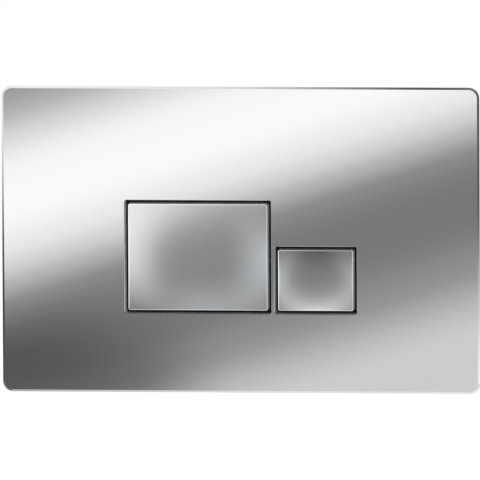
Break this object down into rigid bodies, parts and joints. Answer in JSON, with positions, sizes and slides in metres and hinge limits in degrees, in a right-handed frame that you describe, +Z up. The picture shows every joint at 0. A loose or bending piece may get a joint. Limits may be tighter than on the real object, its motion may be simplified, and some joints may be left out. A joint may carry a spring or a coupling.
{
  "type": "flush button plate",
  "caption": "Chromed wall plate with a large and a small satin push button for a concealed cistern, with sprung sliders, push rods and a clip-on mounting frame.",
  "frame": {"origin": "middle of the plate's outline, on the surface of the wall that the frame's flange lies on", "axes": "+X to the right seen from the room, +Y into the wall, +Z up"},
  "size_m": [0.25, 0.0935, 0.16],
  "materials": {
    "chrome_plating": "polished chrome plating on plastic",
    "satin_chrome": "satin chrome plating on plastic",
    "black_plastic": "moulded, matte black",
    "dark_plastic": "moulded, fine grain",
    "light_plastic": "moulded, light grey",
    "rod_plastic": "moulded, natural white",
    "bolt_plastic": "moulded, mid grey",
    "steel": "bright steel"
  },
  "bodies": {
    "fixed_plate": {"front_plate": "chrome_plating", "full_flush_spring_left": "steel", "full_flush_spring_right": "steel", "half_flush_spring_left": "steel", "half_flush_spring_right": "steel", "button_housing": "dark_plastic", "housing_screws": "steel", "mounting_frame": "light_plastic", "fixing_bolt_left": "bolt_plastic", "fixing_bolt_right": "bolt_plastic", "fixing_washer_left": "steel", "fixing_washer_right": "steel"},
    "full_flush_button": {"full_flush_cap": "satin_chrome", "full_flush_slider": "black_plastic", "full_flush_rod": "rod_plastic", "full_flush_rod_nut": "rod_plastic"},
    "half_flush_button": {"half_flush_cap": "satin_chrome", "half_flush_slider": "black_plastic", "half_flush_rod": "rod_plastic", "half_flush_rod_nut": "rod_plastic"}
  },
  "joints": [
    {"name": "full_flush_press", "type": "slide", "parent": "fixed_plate", "child": "full_flush_button", "axis": [0, 1, 0], "range_m": [0, 0.005], "stiffness_N_per_m": 600, "springref_m": -0.004, "deforming": ["full_flush_spring_left", "full_flush_spring_right"]},
    {"name": "half_flush_press", "type": "slide", "parent": "fixed_plate", "child": "half_flush_button", "axis": [0, 1, 0], "range_m": [0, 0.005], "stiffness_N_per_m": 600, "springref_m": -0.004, "deforming": ["half_flush_spring_left", "half_flush_spring_right"]}
  ]
}
